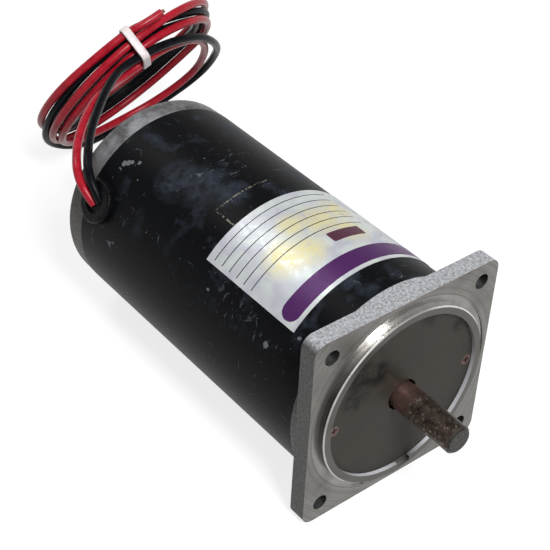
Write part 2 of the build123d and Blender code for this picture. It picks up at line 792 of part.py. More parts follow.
def cable_tie():
    """Nylon tie round the bundle, with its head."""
    wide = coil_radial_width + 2 * tie_gap
    deep = 2 * coil_half_depth + 2 * tie_gap
    inside = RectangleRounded(wide, deep, coil_section_round)
    outside = RectangleRounded(wide + 2 * tie_thickness, deep + 2 * tie_thickness,
                               coil_section_round + tie_thickness)
    band = extrude(outside - inside, tie_width / 2, both=True)
    head = Box(tie_head_height, tie_head_length, tie_head_width)
    head = fillet(head.edges().group_by(Axis.X)[-1], tie_head_round)
    return tie_plane(tie_angle) * (band + Pos(wide / 2 + tie_head_seat + tie_head_height / 2, 0, 0) * head)


def lead_start(side):
    """Where a lead's middle line meets the floor of the grommet's mouth: +1 for red, -1 for black."""
    offset = (lead_diameter + lead_pair_gap) / 2 * side
    turn = radians(lead_pair_turn)
    middle = Vector(grommet_x, 0, 0) + grommet_axis * mouth_radius
    return middle - Vector(1, 0, 0) * (offset * cos(turn)) + grommet_around * (offset * sin(turn))


def gripped(start, towards):
    """The end of a lead inside the rubber, a little below the mouth's floor."""
    return start - (towards - start).normalized() * lead_grip


# Route of each lead from the grommet to the coil, chosen by hand
red_start = lead_start(1)
red_bend = red_start + Vector(-2.81, -1.08, 3.32)
red_route = [
    gripped(red_start, red_bend),
    red_bend,
    red_start + Vector(-8.01, -1.03, 6.93),
    red_start + Vector(-14.51, 1.54, 10.63),
    Vector(-177.0, -29.7, 32.9),
    Vector(-195.0, -10.6, 33.7),
    coil_point(42.0, coil_outer - 3.1, lead_grip - coil_half_depth),
]
black_start = lead_start(-1)
black_bend = black_start + Vector(-2.59, -0.37, 3.58)
black_route = [
    gripped(black_start, black_bend),
    black_bend,
    black_start + Vector(-7.19, 0.07, 7.59),
    black_start + Vector(-13.39, 2.95, 10.79),
    Vector(-174.5, -25.2, 34.6),
    Vector(-193.5, -6.2, 36.0),
    coil_point(54.0, coil_outer - lead_grip, -3.3),
]


def bend_radii(route):
    """Radius of the bend at each inner point of a route, as large as its two runs allow."""
    radii = []
    for before, here, after in zip(route, route[1:], route[2:]):
        incoming = here - before
        outgoing = after - here
        turn = radians(incoming.get_angle(outgoing))
        radii.append(0.45 * min(incoming.length, outgoing.length) / tan(turn / 2))
    return radii


def lead_tube(route, name):
    """Round lead along straight runs and tangent arcs."""
    radii = bend_radii(route)
    path = FilletPolyline(*route, radius=radii)
    section = Plane(origin=route[0], z_dir=route[1] - route[0]) * Circle(lead_diameter / 2)
    tube = sweep(section, path=path)
    expected = pi * lead_diameter ** 2 / 4 * path.length
    print(name, "bend radii", [round(value, 1) for value in radii], "length", round(path.length, 1),
          "volume ratio", round(tube.volume / expected, 4))
    return tube


def lead_tail(side, lean):
    """Cut end of a lead, as (insulation, copper core): outside the coil for +1, inside it for -1."""
    plane = tie_plane(tail_angle)
    offset = coil_radial_width / 2 + lead_diameter / 2 + tail_gap
    start = coil_point(tail_angle, coil_radius + side * offset, coil_half_depth / 2)
    along = plane.z_dir * cos(radians(lean)) + plane.x_dir * (side * sin(radians(lean)))
    seat = Plane(origin=start, z_dir=along, x_dir=coil_plane().z_dir)
    insulation = Pos(0, 0, tail_length / 2) * Cylinder(lead_diameter / 2, tail_length)
    core = Pos(0, 0, tail_length + lead_core_length / 2) * Cylinder(lead_core_diameter / 2, lead_core_length)
    return seat * insulation, seat * core


def write(name, shape):
    """Save one piece, or a group of separate pieces, under its name."""
    if isinstance(shape, list):
        shape = Compound(children=shape)
    export_step(shape, f"parts/{name}.step")


os.makedirs("parts", exist_ok=True)
upper_magnet = magnet()
upper_brush = brush()
upper_spring = brush_spring()
red_tail, red_core = lead_tail(1, 0.0)
black_tail, black_core = lead_tail(-1, black_tail_lean)

pieces = {
    "front_flange": front_flange(),
    "cover_plate": cover_plate(),
    "cover_plate_screws": both_sides(cover_screw()),
    "yoke_tube": yoke_tube(),
    "upper_magnet": upper_magnet,
    "lower_magnet": around(upper_magnet, 180),
    "magnet_clips": both_sides(magnet_clip()),
    "rear_end_bell": rear_end_bell(),
    "through_bolts": both_sides(through_bolt()),
    "through_bolt_washers": both_sides(bolt_washer()),
    "front_bearing_outer_race": bearing_outer_race(front_bearing_face),
    "front_bearing_inner_race": bearing_inner_race(front_bearing_face),
    "front_bearing_balls": bearing_balls(front_bearing_face),
    "front_bearing_cage": bearing_cage(front_bearing_face),
    "rear_bearing_outer_race": bearing_outer_race(rear_bearing_face),
    "rear_bearing_inner_race": bearing_inner_race(rear_bearing_face),
    "rear_bearing_balls": bearing_balls(rear_bearing_face),
    "rear_bearing_cage": bearing_cage(rear_bearing_face),
    "wave_washer": wave_washer(),
    "motor_shaft": motor_shaft(),
    "shaft_circlip": shaft_circlip(),
    "armature_core": armature_core(),
    "armature_end_boards": end_boards(),
    "armature_windings": armature_windings(),
    "commutator_hub": commutator_hub(),
    "commutator_bars": commutator_bars(),
    "brush_plate": brush_plate(),
    "brush_plate_screws": both_sides(brush_plate_screw()),
    "brush_holders": both_sides(brush_holder()),
    "upper_brush": upper_brush,
    "lower_brush": around(upper_brush, 180),
    "upper_brush_spring": upper_spring,
    "lower_brush_spring": around(upper_spring, 180),
    "lead_grommet": lead_grommet(),
    "rating_label": rating_label(),
    "red_lead": lead_tube(red_route, "red_lead"),
    "black_lead": lead_tube(black_route, "black_lead"),
    "red_lead_coil": lead_coil(1),
    "black_lead_coil": lead_coil(-1),
    "cable_tie": cable_tie(),
    "red_lead_tail": red_tail,
    "black_lead_tail": black_tail,
    "lead_cores": [red_core, black_core],
}

for piece_name, piece_shape in pieces.items():
    write(piece_name, piece_shape)
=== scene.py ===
from math import cos, pi, radians, sin

import bmesh
import bpy
from mathutils import Matrix, Vector


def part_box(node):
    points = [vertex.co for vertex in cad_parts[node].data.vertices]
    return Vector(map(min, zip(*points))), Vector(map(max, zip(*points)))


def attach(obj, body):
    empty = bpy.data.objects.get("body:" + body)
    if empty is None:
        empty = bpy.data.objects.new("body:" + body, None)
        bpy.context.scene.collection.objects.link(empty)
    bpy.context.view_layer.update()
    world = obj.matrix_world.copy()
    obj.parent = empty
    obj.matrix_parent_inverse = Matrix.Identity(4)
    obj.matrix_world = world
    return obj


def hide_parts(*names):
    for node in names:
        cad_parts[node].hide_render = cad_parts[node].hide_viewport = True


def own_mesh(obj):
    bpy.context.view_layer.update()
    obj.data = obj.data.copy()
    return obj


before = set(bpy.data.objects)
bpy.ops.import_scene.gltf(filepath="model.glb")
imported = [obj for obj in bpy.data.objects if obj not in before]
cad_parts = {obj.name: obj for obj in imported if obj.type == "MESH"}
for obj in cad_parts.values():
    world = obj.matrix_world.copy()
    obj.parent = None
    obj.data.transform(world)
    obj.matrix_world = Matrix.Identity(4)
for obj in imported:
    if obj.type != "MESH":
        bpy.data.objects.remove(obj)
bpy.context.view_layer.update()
mm = 0.001

# Sizes shared with the solids, in millimetres
tube_radius = 45.0
floor_z = -45.0
lead_diameter = 3.9
groove_radius = 43.3
groove_floor = -0.7
pilot_rim_face = 2.65
recess_radius = 36.65
cover_face = 1.1
hole_offset = 104 / 2 / 2 ** 0.5
hole_radius = 3.25


def linear(code):
    """An sRGB hex colour as linear values."""
    values = [int(code[i:i + 2], 16) / 255 for i in (0, 2, 4)]
    return tuple(v / 12.92 if v <= 0.04045 else ((v + 0.055) / 1.055) ** 2.4 for v in values) + (1.0,)


def join(tree, node, inputs):
    """Give a node's inputs their values, or links where a value is another node's output."""
    for socket, value in inputs.items():
        if isinstance(value, bpy.types.NodeSocket):
            tree.links.new(value, node.inputs[socket])
        else:
            node.inputs[socket].default_value = value


def add(tree, kind, inputs, out=0, **settings):
    """Add a node with its settings and inputs, and return one of its outputs."""
    node = tree.nodes.new(kind)
    for name, value in settings.items():
        setattr(node, name, value)
    join(tree, node, inputs)
    return node.outputs[out]


def material(name):
    """A new material: (material, tree, shader, object coordinates in millimetres)."""
    made = bpy.data.materials.new(name)
    made.use_nodes = True
    tree = made.node_tree
    coordinates = tree.nodes.new("ShaderNodeTexCoord")
    place = add(tree, "ShaderNodeVectorMath", {0: coordinates.outputs["Object"], "Scale": 1000.0}, operation="SCALE")
    return made, tree, tree.nodes["Principled BSDF"], place


def on_tube(x, turn):
    """The point of the tube's surface at a place along it and an angle round it."""
    return x, tube_radius * cos(radians(turn)), tube_radius * sin(radians(turn))


def spot(tree, place, centre, outer, inner):
    """A round patch: 1 within the inner distance from its centre, fading to 0 at the outer one, in millimetres."""
    away = add(tree, "ShaderNodeVectorMath", {0: place, 1: centre}, "Value", operation="DISTANCE")
    return add(tree, "ShaderNodeMapRange", {"Value": away, "From Min": outer, "From Max": inner})


def worked(name, colours, grain, roughness, metallic=0.0, bump=0.1, stretch=(1.0, 1.0, 1.0)):
    """A finish of two colours mottled at a grain size in millimetres, with uneven gloss and a fine relief."""
    made, tree, shader, place = material(name)
    place = add(tree, "ShaderNodeVectorMath", {0: place, 1: stretch}, operation="MULTIPLY")
    mottle = add(tree, "ShaderNodeTexNoise", {"Vector": place, "Scale": 1 / grain, "Detail": 5.0, "Roughness": 0.65})
    mottle = add(tree, "ShaderNodeMapRange", {"Value": mottle, "From Min": 0.35, "From Max": 0.65})
    colour = add(tree, "ShaderNodeMixRGB",
                 {"Fac": mottle, "Color1": linear(colours[0]), "Color2": linear(colours[1])})
    gloss = add(tree, "ShaderNodeMapRange", {"Value": mottle, "To Min": roughness - 0.06, "To Max": roughness + 0.06})
    relief = add(tree, "ShaderNodeBump", {"Strength": bump, "Distance": grain * mm / 4, "Height": mottle})
    join(tree, shader, {"Base Color": colour, "Roughness": gloss, "Normal": relief, "Metallic": metallic})
    return made


# The coil of leads: its centre and its own directions, as in the solids
coil_centre = Vector((-247.0, 43.0, 3.877))
coil_heading = radians(194.4)
coil_lean = radians(35.0)
coil_normal = Vector((cos(coil_lean) * cos(coil_heading), cos(coil_lean) * sin(coil_heading), sin(coil_lean)))
coil_level = Vector((-sin(coil_heading), cos(coil_heading), 0))
coil_up = coil_normal.cross(coil_level)


def coil_point(angle, radius, depth):
    """A point of the coil in millimetres, by the angle round it."""
    turn = radians(angle)
    return coil_centre + radius * cos(turn) * coil_level + radius * sin(turn) * coil_up + depth * coil_normal


def lead_curve(name, points):
    """A lead as one smooth curve through its control points, given in millimetres."""
    curve = bpy.data.curves.new(name, "CURVE")
    curve.dimensions = "3D"
    curve.bevel_depth = lead_diameter / 2 * mm
    curve.bevel_resolution = 6
    curve.resolution_u = 8
    curve.use_fill_caps = True
    line = curve.splines.new("NURBS")
    line.points.add(len(points) - 1)
    for knot, place in zip(line.points, points):
        knot.co = (*(place * mm), 1.0)
    line.order_u = 3
    line.use_endpoint_u = True
    lead = bpy.data.objects.new(name, curve)
    bpy.context.scene.collection.objects.link(lead)
    return lead


def turns(table, start):
    """Control points of coil turns from (radius, depth) values 30 degrees apart."""
    step = 30
    reach = 1 / cos(radians(step / 2))
    return [coil_point(start + step * i, radius * reach, depth) for i, (radius, depth) in enumerate(table)]


red_table = [
    (43.5, -7.0), (40.0, -9.0), (38.0, -10.0), (40.0, -11.5), (47.0, -12.0), (48.0, -9.5),
    (46.5, -6.0), (45.0, -5.0), (46.0, -4.5), (46.5, -4.5), (46.0, -4.0), (46.0, -2.5),
    (47.8, -1.8), (47.0, -3.0), (46.5, -3.0), (47.0, -3.0), (47.0, -1.0), (46.5, -0.5),
    (46.5, -0.5), (47.5, -1.0), (48.3, -1.2), (50.0, -1.2), (49.5, 0.0), (50.3, 1.4),
    (50.0, 2.6), (50.0, 3.5), (51.5, 4.5), (51.0, 5.0), (47.0, 7.0), (45.5, 7.5),
    (46.0, 7.6), (47.0, 7.0), (48.5, 7.5), (50.0, 8.0), (49.8, 8.0), (50.0, 6.8),
]
black_table = [
    (49.6, -7.0), (44.5, -10.5), (42.0, -14.0), (46.0, -14.5), (52.0, -14.0), (51.0, -11.0),
    (51.0, -8.0), (50.5, -6.5), (52.8, 1.5), (48.5, 4.0), (46.6, 5.2), (45.8, 6.4),
    (45.6, 5.8), (46.0, 2.0), (49.0, 0.5), (48.5, 1.0), (46.5, 3.0), (46.5, 3.5),
    (46.5, 3.5), (46.5, 3.0), (45.0, 2.5), (44.3, 2.0), (44.6, 1.6), (45.8, 2.3),
    (44.4, 1.5), (43.0, -1.0), (42.5, 0.0), (42.5, 1.0), (42.5, 4.0), (42.0, 4.5),
    (42.3, 4.5), (42.3, 3.0), (41.8, 0.0), (41.5, -1.5), (41.5, -1.8), (42.0, -0.5),
]

# Route of each lead from the grommet to the coil, and the end that stands out of the tie
red_route = [
    Vector((-146.23, -41.80, 19.16)),
    Vector((-149.80, -43.17, 23.36)),
    Vector((-155.00, -43.12, 26.97)),
    Vector((-161.50, -40.55, 30.67)),
    Vector((-177.00, -29.72, 32.90)),
    Vector((-195.00, -10.61, 33.69)),
    Vector((-205.50, 4.00, 31.00)),
    Vector((-215.10, 17.40, 26.70)),
]
red_end = [
    Vector((-220.40, 26.02, 46.50)),
    Vector((-217.07, 33.23, 49.65)),
    Vector((-217.08, 41.71, 52.65)),
]
black_route = [
    Vector((-142.91, -40.70, 21.59)),
    Vector((-146.20, -41.17, 26.14)),
    Vector((-150.80, -40.73, 30.15)),
    Vector((-157.00, -37.85, 33.35)),
    Vector((-174.50, -25.18, 34.58)),
    Vector((-193.50, -6.24, 36.01)),
    Vector((-203.50, 5.50, 36.30)),
    Vector((-212.50, 18.00, 35.00)),
]
black_end = [
    Vector((-224.94, 32.08, 34.87)),
    Vector((-229.02, 37.87, 34.77)),
    Vector((-231.35, 46.57, 34.64)),
]

# Extruded PVC: a smooth plastic sheen, with finger grease and pressure marks that break its gloss
red_pvc = worked("extruded red PVC insulation", ("8e101f", "a81b2c"), 5.0, 0.3, bump=0.03)
black_pvc = worked("extruded black PVC insulation", ("07080a", "101216"), 5.0, 0.28, bump=0.04)
for insulation, shine in ((red_pvc, 0.22), (black_pvc, 0.06)):
    join(insulation.node_tree, insulation.node_tree.nodes["Principled BSDF"], {"Specular IOR Level": shine})
# Moulded natural nylon: milky and slightly see-through at its edges, with a faint lilac-grey cast
natural_nylon = worked("moulded natural nylon", ("c4babc", "ded6d6"), 3.0, 0.42, bump=0.1)
join(natural_nylon.node_tree, natural_nylon.node_tree.nodes["Principled BSDF"],
     {"Subsurface Weight": 0.25, "Subsurface Radius": (0.002, 0.0018, 0.0014)})

# The tie: where it sits on the coil, its band and head, and the outer strands it pulls against as (radius, depth)
tie_angle = 62.0
tie_middle = 46.5
tie_width = 4.0
tie_band = 1.1
tie_head = (4.4, 6.0, 4.8)
tied_strands = [(44.0, -7.0), (50.9, -5.6), (52.3, 6.6), (45.7, 6.1), (39.5, 2.0)]


def cable_tie_piece():
    """Moulded tie pulled tight round the leads, with its ratchet head on the inner side of the bundle."""
    tie = bmesh.new()
    for outwards, depth in tied_strands:
        bmesh.ops.create_circle(tie, segments=32, radius=lead_diameter / 2 + tie_band + 0.1,
                                matrix=Matrix.Translation((outwards - tie_middle, -depth, -tie_width / 2)))
    rim = bmesh.ops.extrude_vert_indiv(tie, verts=tie.verts[:])["verts"]
    bmesh.ops.translate(tie, vec=(0, 0, tie_width), verts=rim)
    bmesh.ops.delete(tie, geom=tie.edges[:], context="EDGES_FACES")
    tie.normal_update()
    bmesh.ops.convex_hull(tie, input=tie.verts[:])
    bmesh.ops.delete(tie, geom=[v for v in tie.verts if not v.link_faces], context="VERTS")
    bmesh.ops.dissolve_limit(tie, angle_limit=radians(1), verts=tie.verts[:], edges=tie.edges[:])
    tie.normal_update()
    ends = [f for f in tie.faces if abs(f.normal.z) > 0.9]
    bmesh.ops.inset_individual(tie, faces=ends, thickness=tie_band)
    ends = [f for f in ends if f.is_valid]
    loops = [list(f.edges) for f in ends]
    bmesh.ops.delete(tie, geom=ends, context="FACES_ONLY")
    bmesh.ops.bridge_loops(tie, edges=loops[0] + loops[1])
    rims = [e for e in tie.edges if len(e.link_faces) == 2 and e.calc_face_angle(0) > 1.2]
    bmesh.ops.bevel(tie, geom=rims, offset=0.3, segments=2, profile=0.5, affect="EDGES", material=-1)
    head = bmesh.ops.create_cube(tie, size=1.0)["verts"]
    bmesh.ops.scale(tie, vec=tie_head, verts=head)
    inner = min(tied_strands)
    bmesh.ops.translate(tie, vec=(inner[0] - tie_middle - lead_diameter / 2 - tie_band - 1.6, -inner[1], 0), verts=head)
    corners = list({e for v in head for e in v.link_edges})
    bmesh.ops.bevel(tie, geom=corners, offset=0.7, segments=3, profile=0.5, affect="EDGES", material=-1)
    bmesh.ops.recalc_face_normals(tie, faces=tie.faces)
    turn = radians(tie_angle)
    outwards = cos(turn) * coil_level + sin(turn) * coil_up
    along = coil_normal.cross(outwards)
    axes = Matrix((outwards, along.cross(outwards), along)).transposed().to_4x4()
    seat = Matrix.Translation(coil_point(tie_angle, tie_middle, 0)) @ axes
    bmesh.ops.transform(tie, matrix=Matrix.Scale(mm, 4) @ seat, verts=tie.verts)
    mesh = bpy.data.meshes.new("nylon_cable_tie")
    tie.to_mesh(mesh)
    tie.free()
    mesh.shade_smooth()
    piece = bpy.data.objects.new("nylon_cable_tie", mesh)
    bpy.context.scene.collection.objects.link(piece)
    piece.data.materials.append(natural_nylon)
    return piece


tie = cable_tie_piece()
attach(tie, "motor_frame")
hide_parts("cable_tie")

red_lead = lead_curve("red_lead_cord", red_route + turns(red_table, 75) + red_end)
red_lead.data.materials.append(red_pvc)
black_lead = lead_curve("black_lead_cord", black_route + turns(black_table, 75) + black_end)
black_lead.data.materials.append(black_pvc)
for lead, colour in ((red_lead, "red"), (black_lead, "black")):
    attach(lead, "motor_frame")
    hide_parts(colour + "_lead", colour + "_lead_coil", colour + "_lead_tail")


def turned_cast(name, cast, machined, facing_sign, stain, patchy):
    """Die-cast aluminium: grainy and sparkling as cast, and smooth with fine rings where the lathe has faced it."""
    made, tree, shader, place = material(name)
    normal = tree.nodes["Texture Coordinate"].outputs["Normal"]
    facing = add(tree, "ShaderNodeSeparateXYZ", {0: normal})
    flat = add(tree, "ShaderNodeVectorMath", {0: place, 1: (0.0, 1.0, 1.0)}, operation="MULTIPLY")
    radius = add(tree, "ShaderNodeVectorMath", {0: flat}, "Value", operation="LENGTH")
    front = add(tree, "ShaderNodeMath", {0: facing, 1: facing_sign}, operation="MULTIPLY")
    front = add(tree, "ShaderNodeMath", {0: front, 1: 0.8}, operation="GREATER_THAN")
    along = add(tree, "ShaderNodeSeparateXYZ", {0: place})
    ahead = add(tree, "ShaderNodeMath", {0: along, 1: groove_floor}, operation="GREATER_THAN")
    turned = add(tree, "ShaderNodeMath", {0: radius, 1: groove_radius}, operation="LESS_THAN")
    turned = add(tree, "ShaderNodeMath", {0: turned, 1: ahead}, operation="MULTIPLY")
    smooth = add(tree, "ShaderNodeMath", {0: front, 1: turned}, operation="MAXIMUM")
    # Sand-like grain of the casting, about a millimetre across so that it shows
    grain = add(tree, "ShaderNodeTexNoise", {"Vector": place, "Scale": 1 / 1.1, "Detail": 4.0, "Roughness": 0.75})
    grain = add(tree, "ShaderNodeMapRange", {"Value": grain, "From Min": 0.36, "From Max": 0.7})
    # Stained and rubbed patches of about 12 mm on the cast skin
    patches = add(tree, "ShaderNodeTexNoise", {"Vector": place, "Scale": 1 / 12, "Detail": 5.0, "Roughness": 0.6})
    patches = add(tree, "ShaderNodeMapRange", {"Value": patches, "From Min": 0.4, "From Max": 0.62})
    skin = add(tree, "ShaderNodeMix", {"Factor": patchy, "A": grain, "B": patches})
    cast_colour = add(tree, "ShaderNodeMixRGB", {"Fac": skin, "Color1": linear(cast[0]), "Color2": linear(cast[1])})
    # Turning marks: rings about the shaft axis, drawn about 0.8 mm apart so that they show
    rings = add(tree, "ShaderNodeTexNoise", {"W": radius, "Scale": 1.2, "Detail": 3.0}, noise_dimensions="1D")
    rings = add(tree, "ShaderNodeMapRange", {"Value": rings, "From Min": 0.35, "From Max": 0.65})
    clouds = add(tree, "ShaderNodeTexNoise", {"Vector": place, "Scale": 1 / 16, "Detail": 5.0, "Roughness": 0.6})
    clouds = add(tree, "ShaderNodeMapRange", {"Value": clouds, "From Min": 0.42, "From Max": 0.72})
    face_colour = add(tree, "ShaderNodeMixRGB",
                      {"Fac": rings, "Color1": linear(machined[0]), "Color2": linear(machined[1])})
    # The pilot and its groove are cut bright, and the pilot's flat rim is darker
    pilot = add(tree, "ShaderNodeMath", {0: radius, 1: groove_radius}, operation="LESS_THAN")
    face_colour = add(tree, "ShaderNodeMixRGB", {"Fac": pilot, "Color1": face_colour, "Color2": linear("8a8885")})
    rim = add(tree, "ShaderNodeMath", {0: along, 1: pilot_rim_face}, operation="GREATER_THAN")
    face_colour = add(tree, "ShaderNodeMixRGB", {"Fac": rim, "Color1": face_colour, "Color2": linear("54524f")})
    # Painted highlight: the pilot's flank and chamfer are coloured near white
    painted_highlight_flank = add(tree, "ShaderNodeMath", {0: pilot, 1: front}, operation="SUBTRACT")
    painted_highlight_flank = add(tree, "ShaderNodeMapRange", {"Value": painted_highlight_flank})
    face_colour = add(tree, "ShaderNodeMixRGB", {"Fac": painted_highlight_flank, "Color1": face_colour, "Color2": linear("dedcda")})
    # Handling stains in cloudy patches, and small dark pits
    stained = add(tree, "ShaderNodeMath", {0: clouds, 1: 0.45}, operation="MULTIPLY")
    face_colour = add(tree, "ShaderNodeMixRGB", {"Fac": stained, "Color1": face_colour, "Color2": linear(stain)})
    pits = add(tree, "ShaderNodeTexNoise", {"Vector": place, "Scale": 1 / 2.2, "Detail": 2.0})
    pits = add(tree, "ShaderNodeMath", {0: pits, 1: 0.73}, operation="GREATER_THAN")
    face_colour = add(tree, "ShaderNodeMixRGB", {"Fac": pits, "Color1": face_colour, "Color2": linear("45403a")})
    colour = add(tree, "ShaderNodeMixRGB", {"Fac": smooth, "Color1": cast_colour, "Color2": face_colour})
    # Painted shade: the side facing -Y is darkened towards brown
    side = add(tree, "ShaderNodeMapRange", {"Value": facing.node.outputs[1], "From Min": -0.5, "From Max": -0.9,
                                            "To Max": 0.88})
    colour = add(tree, "ShaderNodeMixRGB", {"Fac": side, "Color1": colour, "Color2": linear("2e2a24")})
    # Painted highlight: the wall of the cover's recess is coloured near white
    wall = add(tree, "ShaderNodeMath", {0: radius, 1: recess_radius + 0.1}, operation="LESS_THAN")
    wall = add(tree, "ShaderNodeMath", {0: wall, 1: ahead}, operation="MULTIPLY")
    uncut = add(tree, "ShaderNodeMath", {0: 1.0, 1: front}, operation="SUBTRACT")
    wall = add(tree, "ShaderNodeMath", {0: wall, 1: uncut}, operation="MULTIPLY")
    colour = add(tree, "ShaderNodeMixRGB", {"Fac": wall, "Color1": colour, "Color2": linear("dcdce2")})
    # Painted shade: the four mounting holes are darkened nearly to black
    corner = add(tree, "ShaderNodeVectorMath", {0: flat}, operation="ABSOLUTE")
    hole = add(tree, "ShaderNodeVectorMath", {0: corner, 1: (0.0, hole_offset, hole_offset)}, "Value",
               operation="DISTANCE")
    hole = add(tree, "ShaderNodeMath", {0: hole, 1: hole_radius + 0.05}, operation="LESS_THAN")
    painted_hole_shade = add(tree, "ShaderNodeMath", {0: 0.9, 1: hole}, operation="MULTIPLY")
    colour = add(tree, "ShaderNodeMixRGB", {"Fac": painted_hole_shade, "Color1": colour, "Color2": linear("161413")})
    rough_cast = add(tree, "ShaderNodeMapRange", {"Value": grain, "To Min": 0.6, "To Max": 0.38})
    rough_face = add(tree, "ShaderNodeMapRange", {"Value": clouds, "To Min": 0.27, "To Max": 0.42})
    polish = add(tree, "ShaderNodeMath", {0: painted_highlight_flank, 1: -0.12}, operation="MULTIPLY")
    rough_face = add(tree, "ShaderNodeMath", {0: rough_face, 1: polish}, operation="ADD")
    rough = add(tree, "ShaderNodeMix", {"Factor": smooth, "A": rough_cast, "B": rough_face})
    sanding = add(tree, "ShaderNodeMapRange", {"Value": smooth, "To Min": 0.5, "To Max": 0.03})
    relief = add(tree, "ShaderNodeBump", {"Strength": sanding, "Distance": 0.25 * mm, "Height": grain})
    relief = add(tree, "ShaderNodeBump", {"Strength": 0.04, "Distance": 0.05 * mm, "Height": rings, "Normal": relief})
    # Bare metal where it is cut, and duller oxide on the cast skin
    metallic = add(tree, "ShaderNodeMath", {0: smooth, 1: wall}, operation="SUBTRACT")
    metallic = add(tree, "ShaderNodeMapRange", {"Value": metallic, "To Min": 0.35, "To Max": 0.85})
    tangent = add(tree, "ShaderNodeTangent", {}, direction_type="RADIAL", axis="X")
    join(tree, shader, {"Base Color": colour, "Roughness": rough, "Normal": relief, "Metallic": metallic,
                        "Anisotropic": 0.5, "Tangent": tangent})
    return made


# Chips in the paint, as (x, angle round the tube, radius)
paint_chips = [
    (-144.0, 127.8, 1.5), (-142.6, 126.2, 1.4), (-141.2, 124.8, 1.1), (-138.0, 122.6, 1.1),
    (-33.0, 152.0, 1.4), (-21.0, 139.0, 1.0), (-70.0, 150.0, 0.9),
]


